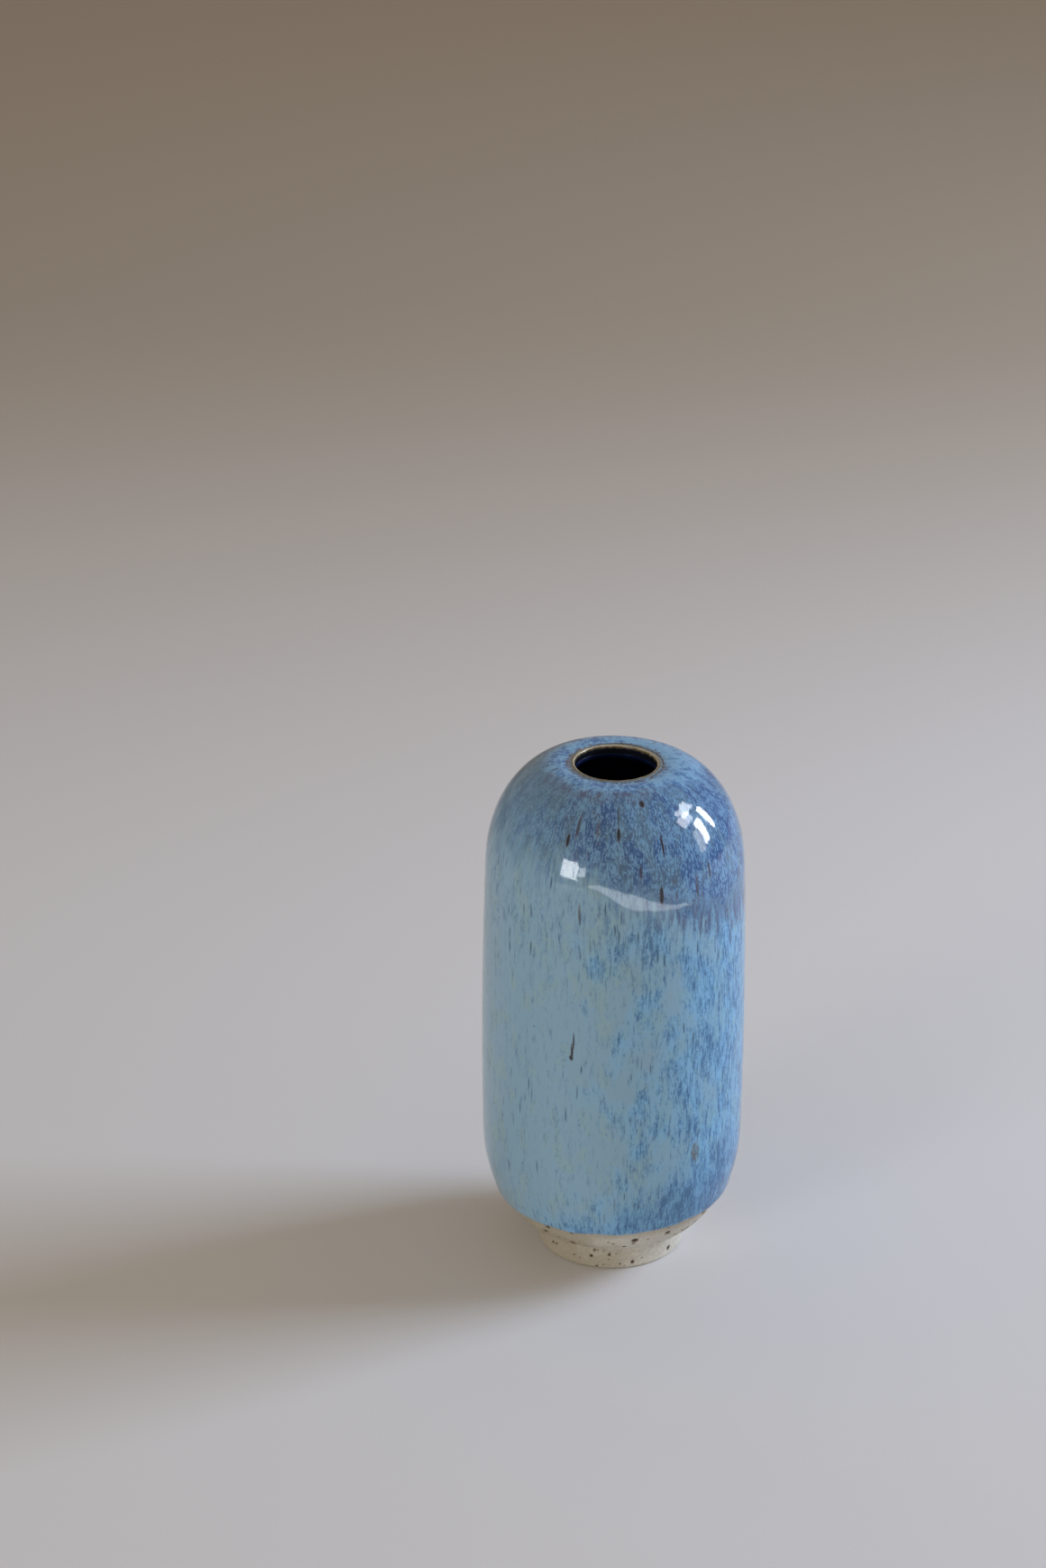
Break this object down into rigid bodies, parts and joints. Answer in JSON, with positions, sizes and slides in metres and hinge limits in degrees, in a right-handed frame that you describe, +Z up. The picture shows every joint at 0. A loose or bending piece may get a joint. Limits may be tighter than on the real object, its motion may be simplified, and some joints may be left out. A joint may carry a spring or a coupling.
{
  "type": "bud vase",
  "caption": "Small capsule-shaped stoneware vase with a narrow mouth, a flowing blue glaze and a bare clay foot ring, for a few flower stems.",
  "frame": {"origin": "centre of the foot ring's resting face", "axes": "+Z up along the vase's axis, towards the mouth; -Y faces the side that the reference view shows"},
  "size_m": [0.0644, 0.0644, 0.13],
  "materials": {
    "bare_clay": "unglazed speckled buff stoneware, matte",
    "blue_glaze": "glossy flowing blue glaze, streaked and speckled",
    "liner_glaze": "glossy dark cobalt glaze",
    "lip_glaze": "glossy thin olive glaze breaking over the clay"
  },
  "bodies": {
    "root": {"stoneware_body": "bare_clay", "foot_ring": "bare_clay", "outer_glaze": "blue_glaze", "liner_glaze": "liner_glaze", "lip_band": "lip_glaze"}
  },
  "joints": []
}
